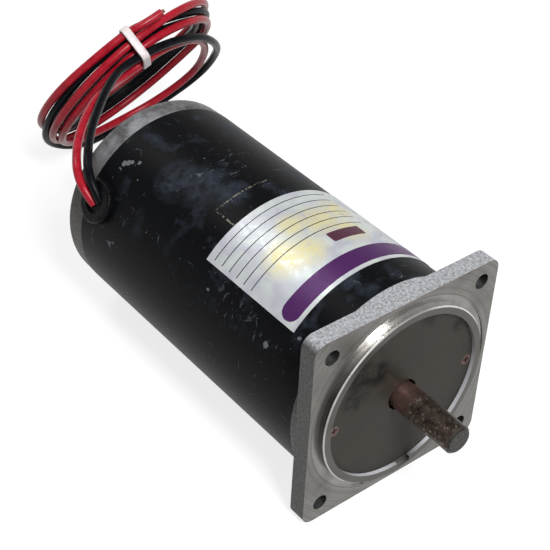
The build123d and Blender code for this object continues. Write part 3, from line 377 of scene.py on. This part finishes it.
def black_paint():
    """Sprayed black enamel: deep black, dulled by haze that doubles as a painted sheen on its upper side, with
    scratches, chips and the edge of an old sticker.
    """
    made, tree, shader, place = material("sprayed black enamel")
    drift = add(tree, "ShaderNodeTexNoise", {"Vector": place, "Scale": 1 / 8, "Detail": 2.0}, "Color")
    bent = add(tree, "ShaderNodeVectorMath", {0: drift, 1: (5.0, 5.0, 5.0), 2: place}, operation="MULTIPLY_ADD")
    along, across, height = add(tree, "ShaderNodeSeparateXYZ", {0: place}).node.outputs
    angle = add(tree, "ShaderNodeMath", {0: height, 1: across}, operation="ARCTAN2")
    arc = add(tree, "ShaderNodeMath", {0: angle, 1: tube_radius}, operation="MULTIPLY")
    # Bluish haze in rubbed patches of about 20 mm, on the upper side only, where it is also a painted sheen
    haze_and_sheen = add(tree, "ShaderNodeTexNoise", {"Vector": bent, "Scale": 1 / 15, "Detail": 4.0, "Roughness": 0.62})
    haze_and_sheen = add(tree, "ShaderNodeMapRange", {"Value": haze_and_sheen, "From Min": 0.54, "From Max": 0.8})
    upper = add(tree, "ShaderNodeMapRange", {"Value": height, "From Min": 12.0, "From Max": 34.0})
    haze_and_sheen = add(tree, "ShaderNodeMath", {0: haze_and_sheen, 1: upper}, operation="MULTIPLY")
    smear = add(tree, "ShaderNodeTexNoise", {"Vector": bent, "Scale": 1 / 6, "Detail": 5.0, "Roughness": 0.65})
    smear = add(tree, "ShaderNodeMapRange", {"Value": smear, "From Min": 0.36, "From Max": 0.66})
    # Painted sheen: three lighter patches where the lamp's sheen falls on the upper side
    for x, turn, size in ((-116.0, 117.0, 12.0), (-105.0, 110.0, 13.0), (-92.0, 104.0, 9.0)):
        near = spot(tree, place, on_tube(x, turn), size, size * 0.3)
        near = add(tree, "ShaderNodeMath", {0: near, 1: smear}, operation="MULTIPLY")
        haze_and_sheen = add(tree, "ShaderNodeMath", {0: haze_and_sheen, 1: near}, operation="MAXIMUM")
    colour = add(tree, "ShaderNodeMixRGB", {"Fac": haze_and_sheen, "Color1": linear("08090b"), "Color2": linear("333944")})
    # Scratches: short pieces of the level lines of two noises, one stretched along the tube and one round it
    scratch = 0.0
    for stretch, size, kept in (((0.35, 1.0, 1.0), 7.0, 0.63), ((1.0, 0.4, 0.4), 9.0, 0.66)):
        line = add(tree, "ShaderNodeVectorMath", {0: bent, 1: stretch}, operation="MULTIPLY")
        line = add(tree, "ShaderNodeTexNoise", {"Vector": line, "Scale": 1 / size, "Detail": 0.0})
        line = add(tree, "ShaderNodeMath", {0: line, 1: 0.5}, operation="SUBTRACT")
        line = add(tree, "ShaderNodeMath", {0: line}, operation="ABSOLUTE")
        line = add(tree, "ShaderNodeMapRange", {"Value": line, "From Min": 0.01, "From Max": 0.002})
        piece = add(tree, "ShaderNodeTexNoise", {"Vector": place, "Scale": 1 / size, "Detail": 3.0})
        piece = add(tree, "ShaderNodeMapRange", {"Value": piece, "From Min": kept - 0.04, "From Max": kept + 0.06})
        line = add(tree, "ShaderNodeMath", {0: line, 1: piece}, operation="MULTIPLY")
        scratch = add(tree, "ShaderNodeMath", {0: line, 1: scratch}, operation="MAXIMUM")
    # Flecks of dust and pin-point chips
    fleck = add(tree, "ShaderNodeTexNoise", {"Vector": place, "Scale": 1 / 1.4, "Detail": 2.0})
    fleck = add(tree, "ShaderNodeMapRange", {"Value": fleck, "From Min": 0.73, "From Max": 0.78})
    scratch = add(tree, "ShaderNodeMath", {0: scratch, 1: fleck}, operation="MAXIMUM")
    # Scuffing along the label's free edge and where the tube meets the flange
    for x, turn, size in ((-55.0, 146.0, 15.0), (-32.0, 150.0, 13.0), (-108.0, 92.0, 14.0)):
        near = spot(tree, place, on_tube(x, turn), size, size * 0.4)
        scuff = add(tree, "ShaderNodeVectorMath", {0: bent, 1: (1.0, 0.35, 0.35)}, operation="MULTIPLY")
        scuff = add(tree, "ShaderNodeTexNoise", {"Vector": scuff, "Scale": 1 / 1.6, "Detail": 4.0, "Roughness": 0.6})
        scuff = add(tree, "ShaderNodeMapRange", {"Value": scuff, "From Min": 0.6, "From Max": 0.72, "To Max": 0.6})
        scuff = add(tree, "ShaderNodeMath", {0: scuff, 1: near}, operation="MULTIPLY")
        scratch = add(tree, "ShaderNodeMath", {0: scratch, 1: scuff}, operation="MAXIMUM")
    # Edge of a sticker that was peeled off: two sides of it on the unrolled tube, as dots of old glue
    past_rear = add(tree, "ShaderNodeMath", {0: along, 1: -90.2}, operation="SUBTRACT")
    past_side = add(tree, "ShaderNodeMath", {0: arc, 1: radians(117) * tube_radius}, operation="SUBTRACT")
    past_rear = add(tree, "ShaderNodeMath", {0: past_rear, 1: -1.0}, operation="MULTIPLY")
    edge = add(tree, "ShaderNodeMath", {0: past_rear, 1: past_side}, operation="MAXIMUM")
    edge = add(tree, "ShaderNodeMath", {0: edge}, operation="ABSOLUTE")
    edge = add(tree, "ShaderNodeMath", {0: edge, 1: 0.4}, operation="LESS_THAN")
    in_reach = add(tree, "ShaderNodeMath", {0: arc, 1: radians(84) * tube_radius}, operation="GREATER_THAN")
    behind = add(tree, "ShaderNodeMath", {0: along, 1: -60.0}, operation="LESS_THAN")
    in_reach = add(tree, "ShaderNodeMath", {0: in_reach, 1: behind}, operation="MULTIPLY")
    edge = add(tree, "ShaderNodeMath", {0: edge, 1: in_reach}, operation="MULTIPLY")
    dots = add(tree, "ShaderNodeTexNoise", {"Vector": place, "Scale": 1 / 1.1, "Detail": 1.0})
    dots = add(tree, "ShaderNodeMapRange", {"Value": dots, "From Min": 0.47, "From Max": 0.58})
    edge = add(tree, "ShaderNodeMath", {0: edge, 1: dots}, operation="MULTIPLY")
    colour = add(tree, "ShaderNodeMixRGB", {"Fac": edge, "Color1": colour, "Color2": linear("6b6c60")})
    worn = add(tree, "ShaderNodeMath", {0: scratch, 1: 0.45}, operation="MULTIPLY")
    colour = add(tree, "ShaderNodeMixRGB", {"Fac": worn, "Color1": colour, "Color2": linear("8b9099")})
    # Chips down to the steel, with ragged outlines
    ragged = add(tree, "ShaderNodeTexNoise", {"Vector": place, "Scale": 1 / 1.8, "Detail": 1.0}, "Color")
    ragged = add(tree, "ShaderNodeVectorMath", {0: ragged, 1: (0.5, 0.5, 0.5)}, operation="SUBTRACT")
    ragged = add(tree, "ShaderNodeVectorMath", {0: ragged, 1: (1.5, 1.5, 1.5), 2: place}, operation="MULTIPLY_ADD")
    for x, turn, size in paint_chips:
        chip = spot(tree, ragged, on_tube(x, turn), size, size - 0.3)
        chip = add(tree, "ShaderNodeMath", {0: chip, 1: 0.8}, operation="MULTIPLY")
        colour = add(tree, "ShaderNodeMixRGB", {"Fac": chip, "Color1": colour, "Color2": linear("6a6e73")})
    gloss = add(tree, "ShaderNodeMapRange", {"Value": haze_and_sheen, "To Min": 0.42, "To Max": 0.6})
    ripple = add(tree, "ShaderNodeTexNoise", {"Vector": place, "Scale": 1 / 5, "Detail": 2.0})
    relief = add(tree, "ShaderNodeBump", {"Strength": 0.1, "Distance": 0.3 * mm, "Height": ripple})
    relief = add(tree, "ShaderNodeBump",
                 {"Strength": 0.4, "Distance": 0.05 * mm, "Height": scratch, "Normal": relief}, invert=True)
    join(tree, shader, {"Base Color": colour, "Roughness": gloss, "Normal": relief, "Specular IOR Level": 0.06})
    return made


def foil_label():
    """Printed metallised foil: silvery with a rainbow cast, a plum band, thin black rules and yellowed patches."""
    made, tree, shader, place = material("printed metallised foil")
    along, across, height = add(tree, "ShaderNodeSeparateXYZ", {0: place}).node.outputs
    back = add(tree, "ShaderNodeMath", {0: along, 1: -1.0}, operation="MULTIPLY")
    angle = add(tree, "ShaderNodeMath", {0: height, 1: across}, operation="ARCTAN2")
    arc = add(tree, "ShaderNodeMath", {0: angle, 1: tube_radius}, operation="MULTIPLY")
    # Silver shot with pale lilac and mint in soft waves
    waves = add(tree, "ShaderNodeTexNoise", {"Vector": place, "Scale": 1 / 11, "Detail": 2.0, "Distortion": 0.6})
    cast = add(tree, "ShaderNodeMapRange", {"Value": waves, "From Min": 0.36, "From Max": 0.64})
    colour = add(tree, "ShaderNodeMixRGB", {"Fac": cast, "Color1": linear("b4b6bf"), "Color2": linear("c6ccc9")})
    yellow = 0.0
    for x, turn, size in ((-50.0, 114.0, 11.0), (-46.0, 104.0, 10.0), (-57.0, 84.0, 12.0), (-47.0, 76.0, 10.0),
                          (-62.0, 68.0, 9.0), (-61.0, 98.0, 8.0)):
        near = spot(tree, place, on_tube(x, turn), size, size * 0.35)
        yellow = add(tree, "ShaderNodeMath", {0: near, 1: yellow}, operation="MAXIMUM")
    mottle = add(tree, "ShaderNodeTexNoise", {"Vector": place, "Scale": 1 / 3, "Detail": 4.0, "Roughness": 0.7})
    mottle = add(tree, "ShaderNodeMapRange", {"Value": mottle, "From Min": 0.3, "From Max": 0.5})
    yellow = add(tree, "ShaderNodeMath", {0: yellow, 1: mottle}, operation="MULTIPLY")
    colour = add(tree, "ShaderNodeMixRGB", {"Fac": yellow, "Color1": colour, "Color2": linear("d2cba0")})
    # Six rules, 4.57 mm apart and drawn 0.46 mm wide so that they show, ending two thirds of the way round
    step = add(tree, "ShaderNodeMath", {0: back, 1: -51.4}, operation="ADD")
    step = add(tree, "ShaderNodeMath", {0: step, 1: 1 / 4.57}, operation="MULTIPLY")
    rule = add(tree, "ShaderNodeMath", {0: step, 1: 0.5}, operation="PINGPONG")
    rule = add(tree, "ShaderNodeMath", {0: rule, 1: 0.05}, operation="LESS_THAN")
    for way, low, high in ((back, 50.5, 75.5), (arc, radians(62) * tube_radius, radians(136.4) * tube_radius)):
        over = add(tree, "ShaderNodeMath", {0: way, 1: low}, operation="GREATER_THAN")
        under = add(tree, "ShaderNodeMath", {0: way, 1: high}, operation="LESS_THAN")
        rule = add(tree, "ShaderNodeMath", {0: rule, 1: over}, operation="MULTIPLY")
        rule = add(tree, "ShaderNodeMath", {0: rule, 1: under}, operation="MULTIPLY")
    colour = add(tree, "ShaderNodeMixRGB", {"Fac": rule, "Color1": colour, "Color2": linear("26262a")})
    # Plum band with a round end, and a small square-ended block behind it, as distances to a line on the unrolled
    # label: its place back from the flange, half width, start and end angle, squareness and ink
    for middle, half, start, end, square, ink in ((30.8, 4.4, 20.0, 131.0, 1.0, "461655"),
                                                  (45.6, 2.9, 69.5, 89.5, 9.0, "4f2238")):
        beside = add(tree, "ShaderNodeMath", {0: back, 1: middle}, operation="SUBTRACT")
        held = add(tree, "ShaderNodeClamp", {"Value": arc, "Min": radians(start) * tube_radius,
                                             "Max": radians(end) * tube_radius})
        beyond = add(tree, "ShaderNodeMath", {0: arc, 1: held}, operation="SUBTRACT")
        reach = add(tree, "ShaderNodeCombineXYZ", {0: beside, 1: beyond})
        reach = add(tree, "ShaderNodeVectorMath", {0: reach, 1: (1.0, square, 0.0)}, operation="MULTIPLY")
        reach = add(tree, "ShaderNodeVectorMath", {0: reach}, "Value", operation="LENGTH")
        band = add(tree, "ShaderNodeMath", {0: reach, 1: half}, operation="LESS_THAN")
        colour = add(tree, "ShaderNodeMixRGB", {"Fac": band, "Color1": colour, "Color2": linear(ink)})
    # Print worn off and dirtied in flakes towards the far end
    wear = add(tree, "ShaderNodeMapRange", {"Value": arc, "From Min": radians(84) * tube_radius,
                                            "From Max": radians(50) * tube_radius, "To Min": -0.08, "To Max": 0.07})
    flakes = add(tree, "ShaderNodeTexNoise", {"Vector": place, "Scale": 1 / 4, "Detail": 5.0, "Roughness": 0.7})
    flakes = add(tree, "ShaderNodeMath", {0: flakes, 1: wear}, operation="ADD")
    flakes = add(tree, "ShaderNodeMapRange", {"Value": flakes, "From Min": 0.6, "From Max": 0.74, "To Max": 0.85})
    colour = add(tree, "ShaderNodeMixRGB", {"Fac": flakes, "Color1": colour, "Color2": linear("4a423c")})
    gloss = add(tree, "ShaderNodeMapRange", {"Value": mottle, "To Min": 0.34, "To Max": 0.46})
    relief = add(tree, "ShaderNodeBump", {"Strength": 0.12, "Distance": 0.3 * mm, "Height": waves})
    join(tree, shader, {"Base Color": colour, "Roughness": gloss, "Normal": relief, "Metallic": 0.3})
    return made


def smudged_plate():
    """Pressed plate under old grey paint: dull, with greasy thumb smudges and painted shade darkening its rim."""
    made, tree, shader, place = material("greasy grey painted plate")
    clouds = add(tree, "ShaderNodeTexNoise", {"Vector": place, "Scale": 1 / 12, "Detail": 6.0, "Roughness": 0.62})
    clouds = add(tree, "ShaderNodeMapRange", {"Value": clouds, "From Min": 0.36, "From Max": 0.66})
    colour = add(tree, "ShaderNodeMixRGB", {"Fac": clouds, "Color1": linear("25221d"), "Color2": linear("38342e")})
    dirt = 0.0
    for y, z, size in ((-22.0, 19.0, 9.0), (-14.0, 18.0, 7.5), (-24.0, 11.0, 8.0), (27.0, 22.0, 5.0),
                       (10.0, 33.0, 5.0)):
        near = spot(tree, place, (cover_face, y, z), size, size * 0.45)
        dirt = add(tree, "ShaderNodeMath", {0: near, 1: dirt}, operation="MAXIMUM")
    broken = add(tree, "ShaderNodeTexNoise", {"Vector": place, "Scale": 1 / 5, "Detail": 5.0, "Roughness": 0.7})
    broken = add(tree, "ShaderNodeMapRange", {"Value": broken, "From Min": 0.34, "From Max": 0.54})
    dirt = add(tree, "ShaderNodeMath", {0: dirt, 1: broken}, operation="MULTIPLY")
    colour = add(tree, "ShaderNodeMixRGB", {"Fac": dirt, "Color1": colour, "Color2": linear("060504")})
    radius = add(tree, "ShaderNodeVectorMath", {0: place}, "Value", operation="LENGTH")
    # Painted shade: the plate darkens towards its rim, beside the recess wall
    rim = add(tree, "ShaderNodeMapRange", {"Value": radius, "From Min": 34.4, "From Max": 36.4, "To Max": 0.8})
    colour = add(tree, "ShaderNodeMixRGB", {"Fac": rim, "Color1": colour, "Color2": linear("24211d")})
    gloss = add(tree, "ShaderNodeMapRange", {"Value": clouds, "To Min": 0.45, "To Max": 0.62})
    relief = add(tree, "ShaderNodeBump", {"Strength": 0.15, "Distance": 0.2 * mm, "Height": broken})
    join(tree, shader, {"Base Color": colour, "Roughness": gloss, "Normal": relief, "Metallic": 0.2,
                        "Specular IOR Level": 0.2})
    return made


shaft_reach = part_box("motor_shaft")[1][0] / mm


def rusted_shaft():
    """Ground steel gone brown: pitted rust that glints where it catches the lamp, smoother and redder at the root."""
    made, tree, shader, place = material("ground steel with rust bloom")
    along = add(tree, "ShaderNodeSeparateXYZ", {0: place})
    bloom = add(tree, "ShaderNodeTexNoise", {"Vector": place, "Scale": 1 / 2.6, "Detail": 6.0, "Roughness": 0.72})
    bloom = add(tree, "ShaderNodeMapRange", {"Value": bloom, "From Min": 0.38, "From Max": 0.62})
    colour = add(tree, "ShaderNodeMixRGB", {"Fac": bloom, "Color1": linear("332b27"), "Color2": linear("55483f")})
    root = add(tree, "ShaderNodeMapRange", {"Value": along, "From Min": 12.0, "From Max": 5.0})
    colour = add(tree, "ShaderNodeMixRGB", {"Fac": root, "Color1": colour, "Color2": linear("8a6c63")})
    tip = add(tree, "ShaderNodeMapRange",
              {"Value": along, "From Min": shaft_reach - 1.5, "From Max": shaft_reach - 0.3})
    colour = add(tree, "ShaderNodeMixRGB", {"Fac": tip, "Color1": colour, "Color2": linear("26231f")})
    # Bright spots about a millimetre across: bare metal rubbed free of rust, and painted glints
    bare_and_glint = add(tree, "ShaderNodeTexNoise", {"Vector": place, "Scale": 1 / 1.3, "Detail": 3.0, "Roughness": 0.6})
    bare_and_glint = add(tree, "ShaderNodeMapRange", {"Value": bare_and_glint, "From Min": 0.61, "From Max": 0.68})
    on_side = add(tree, "ShaderNodeMath", {0: tip, 1: root}, operation="MAXIMUM")
    on_side = add(tree, "ShaderNodeMapRange", {"Value": on_side, "To Min": 1.0, "To Max": 0.25})
    bare_and_glint = add(tree, "ShaderNodeMath", {0: bare_and_glint, 1: on_side}, operation="MULTIPLY")
    colour = add(tree, "ShaderNodeMixRGB", {"Fac": bare_and_glint, "Color1": colour, "Color2": linear("a89d97")})
    gloss = add(tree, "ShaderNodeMapRange", {"Value": bloom, "To Min": 0.26, "To Max": 0.36})
    pitting = add(tree, "ShaderNodeMapRange", {"Value": root, "To Min": 1.0, "To Max": 0.2})
    pits = add(tree, "ShaderNodeTexNoise", {"Vector": place, "Scale": 1 / 0.9, "Detail": 4.0, "Roughness": 0.7})
    relief = add(tree, "ShaderNodeBump", {"Strength": pitting, "Distance": 0.5 * mm, "Height": pits})
    join(tree, shader, {"Base Color": colour, "Roughness": gloss, "Normal": relief, "Metallic": 0.85})
    return made


# Sintered and ground ferrite: dead dark grey with a gritty face
ferrite = worked("ground ferrite", ("232427", "34363a"), 0.8, 0.6, bump=0.3)
# Blued spring steel: dark with a blue cast and long rolling marks
spring_steel = worked("blued spring steel", ("3c4048", "565b66"), 2.0, 0.32, 1.0, 0.1, (0.15, 1.0, 1.0))
# Ground bearing steel: bright, nearly a mirror
bearing_steel = worked("ground bearing steel", ("a9abaf", "c6c8cb"), 1.5, 0.16, 1.0, 0.05)
# Stacked laminations: dark grey with lines 0.6 mm apart along the shaft, under thin varnish
laminations = worked("varnished lamination stack", ("4b4c50", "8a8b90"), 0.6, 0.42, 0.9, 0.35, (1.0, 0.04, 0.04))
# Enamelled copper windings: reddish wires laid along the shaft, 0.9 mm thick, in clear varnish
copper_wire = worked("enamelled copper wire", ("6e2c14", "b4623a"), 0.9, 0.3, 0.8, 0.5, (0.08, 1.0, 1.0))
# Pressed fibre board: matte brown with short fibres
fibre_board = worked("pressed fibre board", ("4a2c18", "6b4226"), 1.2, 0.7, 0.0, 0.2)
# Moulded phenolic: dark brown with a faint flow pattern
phenolic = worked("moulded phenolic", ("2a1a12", "3a251a"), 4.0, 0.4, 0.0, 0.1)
# Copper commutator bars: pink-brown film burnished by the brushes, rings round the shaft
commutator_copper = worked("burnished commutator copper", ("7a4330", "a8674a"), 1.0, 0.28, 1.0, 0.15, (1.0, 0.1, 0.1))
# Stamped brass: warm yellow, lightly tarnished
brass = worked("stamped brass", ("8d6f35", "b8985a"), 3.0, 0.3, 1.0, 0.1)
# Pressed graphite: nearly black with a soft lustre
graphite = worked("pressed graphite", ("1b1b1d", "2c2c2f"), 0.7, 0.5, 0.1, 0.25)
# Moulded cage polyamide: pale cream, satin
polyamide = worked("moulded polyamide", ("a39c86", "bdb6a1"), 3.0, 0.5, 0.0, 0.1)
# Zinc-plated steel: grey-blue with dull patches
zinc_steel = worked("zinc-plated steel", ("6a6b6d", "8c8d91"), 1.6, 0.36, 0.95, 0.15)
# Rusted cover screws: coppery brown, rough
rusty_screws = worked("rusted screw heads", ("38282a", "7a605c"), 1.1, 0.42, 0.8, 0.5)
# Moulded rubber: black with a soft wide sheen and a bloom of dust
rubber = worked("moulded black rubber", ("050506", "0c0d0f"), 3.0, 0.36, 0.0, 0.3)
join(rubber.node_tree, rubber.node_tree.nodes["Principled BSDF"], {"Specular IOR Level": 0.08})
# Tinned copper strands at the cut lead ends
strands = worked("drawn copper strands", ("4e3529", "7d5742"), 0.4, 0.4, 1.0, 0.5, (0.3, 0.3, 1.0))



# The brush springs: wire and turns as in the solids
spring_wire = 0.8
spring_turns = 4


def brush_spring_piece(side):
    """Round-wire spring between the brush and the end of its box."""
    low, high = (Vector(corner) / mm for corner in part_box(side + "_brush_spring"))
    middle = (low + high) / 2
    coil_radius = (high.x - low.x - spring_wire) / 2
    rise = high.z - low.z - spring_wire
    steps, sides = 24 * spring_turns, 10
    spring = bmesh.new()
    rings = []
    for i in range(steps + 1):
        turn = 2 * pi * spring_turns * i / steps
        outwards = Vector((cos(turn), sin(turn), 0))
        centre = middle + coil_radius * outwards + Vector((0, 0, rise * (i / steps - 0.5)))
        ring = []
        for k in range(sides):
            across = 2 * pi * k / sides
            edge = cos(across) * outwards + Vector((0, 0, sin(across)))
            ring.append(spring.verts.new(mm * (centre + spring_wire / 2 * edge)))
        rings.append(ring)
    for one, other in zip(rings, rings[1:]):
        for k in range(sides):
            spring.faces.new((one[k], one[k - 1], other[k - 1], other[k]))
    spring.faces.new(rings[0])
    spring.faces.new(rings[-1])
    bmesh.ops.recalc_face_normals(spring, faces=spring.faces)
    mesh = bpy.data.meshes.new(side + "_spring_coil")
    spring.to_mesh(mesh)
    spring.free()
    mesh.shade_smooth()
    piece = bpy.data.objects.new(side + "_spring_coil", mesh)
    bpy.context.scene.collection.objects.link(piece)
    piece.data.materials.append(spring_steel)
    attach(piece, "motor_frame")
    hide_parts(side + "_brush_spring")
    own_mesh(piece)


brush_spring_piece("upper")
brush_spring_piece("lower")

flange_cast = turned_cast("die-cast aluminium, faced front", ("7a7b7e", "cfd1d6"), ("686662", "7c7a76"), 1.0, "4a4640",
                          0.0)
bell_cast = turned_cast("die-cast aluminium, turned edge", ("3c3b3a", "96979b"), ("4a4a4b", "747476"), -1.0,
                        "3a3a3a", 0.75)
finishes = {
    flange_cast: ["front_flange"],
    bell_cast: ["rear_end_bell"],
    black_paint(): ["yoke_tube"],
    foil_label(): ["rating_label"],
    smudged_plate(): ["cover_plate"],
    rusted_shaft(): ["motor_shaft"],
    rusty_screws: ["cover_plate_screws"],
    rubber: ["lead_grommet"],
    strands: ["lead_cores"],
    natural_nylon: ["cable_tie"],
    red_pvc: ["red_lead", "red_lead_coil", "red_lead_tail"],
    black_pvc: ["black_lead", "black_lead_coil", "black_lead_tail"],
    ferrite: ["upper_magnet", "lower_magnet"],
    spring_steel: ["magnet_clips", "wave_washer", "shaft_circlip", "upper_brush_spring", "lower_brush_spring"],
    bearing_steel: ["front_bearing_outer_race", "front_bearing_inner_race", "front_bearing_balls",
                    "rear_bearing_outer_race", "rear_bearing_inner_race", "rear_bearing_balls"],
    polyamide: ["front_bearing_cage", "rear_bearing_cage"],
    laminations: ["armature_core"],
    copper_wire: ["armature_windings"],
    fibre_board: ["armature_end_boards", "brush_plate"],
    phenolic: ["commutator_hub"],
    commutator_copper: ["commutator_bars"],
    brass: ["brush_holders"],
    graphite: ["upper_brush", "lower_brush"],
    zinc_steel: ["through_bolts", "through_bolt_washers", "brush_plate_screws"],
}
for finish, nodes in finishes.items():
    for node in nodes:
        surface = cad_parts[node].data
        surface.materials.clear()
        surface.materials.append(finish)

# Floor, light and camera: white paper that sweeps up all round, far from the object
floor_glow = 0.8
sweep_radius = 4.0
sweep_height = 1.6
sweep_bend = 0.5
sweep = bmesh.new()
bmesh.ops.create_circle(sweep, cap_ends=True, segments=64, radius=sweep_radius,
                        matrix=Matrix.Translation((0, 0, floor_z * mm)))
wall = bmesh.ops.extrude_edge_only(sweep, edges=sweep.edges[:])["geom"]
bmesh.ops.translate(sweep, vec=(0, 0, sweep_height), verts=[v for v in wall if isinstance(v, bmesh.types.BMVert)])
foot = [e for e in sweep.edges if len(e.link_faces) == 2 and e.calc_face_angle() > 1]
bmesh.ops.bevel(sweep, geom=foot, offset=sweep_bend, segments=8, profile=0.5, affect="EDGES", material=-1)
bmesh.ops.recalc_face_normals(sweep, faces=sweep.faces)
sheet = bpy.data.meshes.new("studio_floor")
sweep.to_mesh(sheet)
sweep.free()
sheet.shade_smooth()
floor = bpy.data.objects.new("studio_floor", sheet)
bpy.context.scene.collection.objects.link(floor)
floor_paper, tree, shader, place = material("white studio paper")
join(tree, shader, {"Base Color": linear("828282"), "Roughness": 0.9})
rays = tree.nodes.new("ShaderNodeLightPath")
shown = add(tree, "ShaderNodeMath", {0: rays.outputs["Is Camera Ray"], 1: rays.outputs["Is Glossy Ray"]},
            operation="MAXIMUM")
shown = add(tree, "ShaderNodeMath", {0: shown, 1: rays.outputs["Is Transmission Ray"]}, operation="MAXIMUM")
join(tree, shader, {"Emission Color": (1.0, 1.0, 1.0, 1.0), "Emission Strength": add(
    tree, "ShaderNodeMath", {0: shown, 1: floor_glow}, operation="MULTIPLY")})
floor.data.materials.append(floor_paper)


def area_light(name, place, size, power):
    light = bpy.data.lights.new(name, "AREA")
    light.size = size
    light.energy = power
    lamp = bpy.data.objects.new(name, light)
    lamp.location = place
    lamp.rotation_euler = (Vector((-0.05, 0, 0)) - Vector(place)).to_track_quat("-Z", "Y").to_euler()
    bpy.context.scene.collection.objects.link(lamp)


area_light("overhead lamp", (0.87, -0.21, 1.20), 0.4, 28)
area_light("window behind", (-0.95, -0.17, 1.20), 0.35, 5)
area_light("soft fill", (1.25, -0.1, 0.45), 0.9, 1.5)
world = bpy.data.worlds.new("studio")
bpy.context.scene.world = world
world.use_nodes = True
world.node_tree.nodes["Background"].inputs["Color"].default_value = (1, 1, 1, 1)
world.node_tree.nodes["Background"].inputs["Strength"].default_value = 0.25

camera = bpy.data.cameras.new("photograph view")
camera.sensor_width = 36
camera.lens = 91.32
camera.clip_start = 0.01
view = bpy.data.objects.new("photograph view", camera)
bpy.context.scene.collection.objects.link(view)
right = Vector((0.62054, 0.78318, 0.03946))
up = Vector((-0.50585, 0.36134, 0.78329))
back = Vector((0.59920, -0.50602, 0.62040))
standpoint = Vector((0.264309, -0.288011, 0.360398))
view.matrix_world = Matrix.Translation(standpoint) @ Matrix((right, up, back)).transposed().to_4x4()
bpy.context.scene.camera = view
bpy.context.scene.view_settings.view_transform = "Standard"
